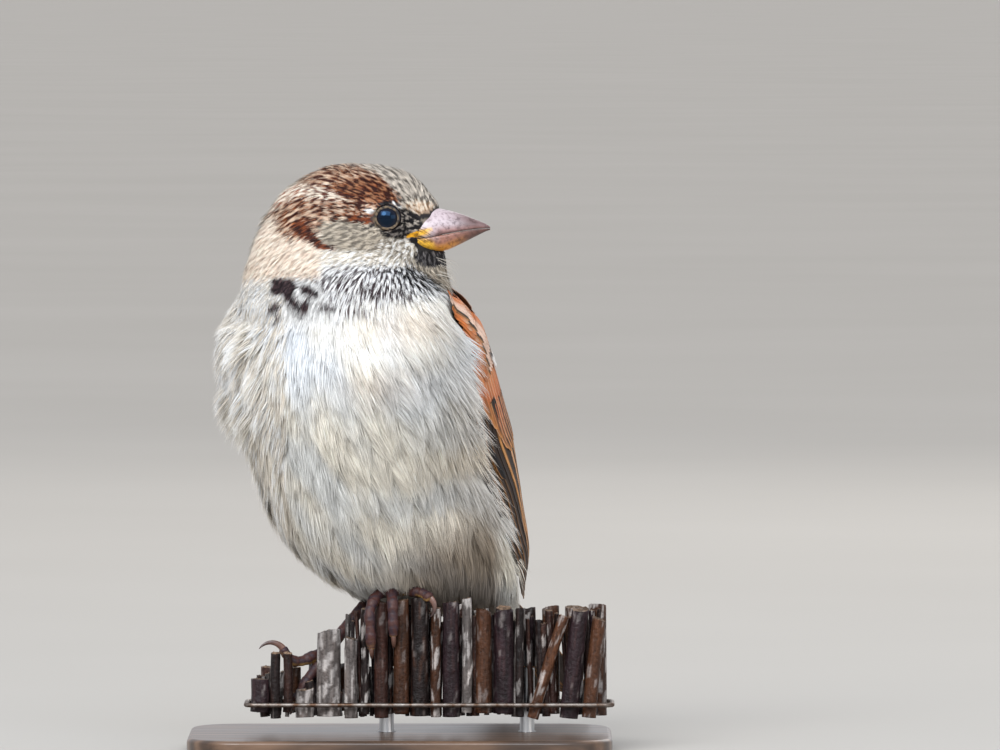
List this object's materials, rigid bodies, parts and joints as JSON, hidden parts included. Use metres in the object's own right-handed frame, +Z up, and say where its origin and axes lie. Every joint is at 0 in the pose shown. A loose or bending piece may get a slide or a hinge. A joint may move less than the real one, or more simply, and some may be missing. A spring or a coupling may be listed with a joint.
{
  "type": "model of a house sparrow",
  "caption": "Life-size still model of a fluffed house sparrow perched on a short cut length of bound brushwood, held on a flat base with rods",
  "frame": {"origin": "centre of the base's underside, on the plane it stands on", "axes": "+Z is up. +X is the way the turned head's bill points, nearly. -Y is towards the side from which the breast and the head's left side are both seen; the tail points towards +Y and +X."},
  "size_m": [0.0926, 0.1001, 0.1281],
  "materials": {
    "plumage_head": "short soft feathers, grey-brown crown and chestnut sides",
    "plumage_body": "loose fluffed feathers, pale grey below and brown with dark streaks on the back",
    "wing_feathers": "chestnut and dark brown vanes with buff edges",
    "tail_feathers": "dark brown vanes with paler edges",
    "bill": "smooth horn, pinkish grey with a yellow base",
    "eye": "polished, very dark brown",
    "leg_skin": "scaly reddish-brown skin",
    "claw": "smooth dark horn",
    "bark": "weathered dark bark with grey lichen on some stems",
    "wire": "dull binding wire",
    "base_wood": "dark satin wood",
    "rod_metal": "satin metal rods"
  },
  "bodies": {
    "root": {"head": "plumage_head", "neck": "plumage_body", "trunk": "plumage_body", "tail": "tail_feathers", "bill_upper": "bill", "bill_lower": "bill", "wing_left": "wing_feathers", "wing_right": "wing_feathers", "eye_left": "eye", "eye_right": "eye", "leg_left": "leg_skin", "leg_right": "leg_skin", "claw_left_inner": "claw", "claw_left_middle": "claw", "claw_left_outer": "claw", "claw_left_hind": "claw", "claw_right_inner": "claw", "claw_right_middle": "claw", "claw_right_outer": "claw", "claw_right_hind": "claw", "perch_stem_01": "bark", "perch_stem_02": "bark", "perch_stem_03": "bark", "perch_stem_04": "bark", "perch_stem_05": "bark", "perch_stem_06": "bark", "perch_stem_07": "bark", "perch_stem_08": "bark", "perch_stem_09": "bark", "perch_stem_10": "bark", "perch_stem_11": "bark", "perch_stem_12": "bark", "perch_stem_13": "bark", "perch_stem_14": "bark", "perch_stem_15": "bark", "perch_stem_16": "bark", "perch_stem_17": "bark", "perch_stem_18": "bark", "perch_stem_19": "bark", "perch_stem_20": "bark", "perch_stem_21": "bark", "perch_stem_22": "bark", "perch_stem_23": "bark", "perch_stem_24": "bark", "perch_stem_25": "bark", "perch_stem_26": "bark", "perch_stem_27": "bark", "perch_stem_28": "bark", "perch_stem_29": "bark", "perch_stem_30": "bark", "perch_stem_31": "bark", "perch_stem_32": "bark", "perch_stem_33": "bark", "perch_stem_34": "bark", "perch_wire": "wire", "stand_base": "base_wood", "stand_rod_1": "rod_metal", "stand_rod_2": "rod_metal"}
  },
  "joints": []
}
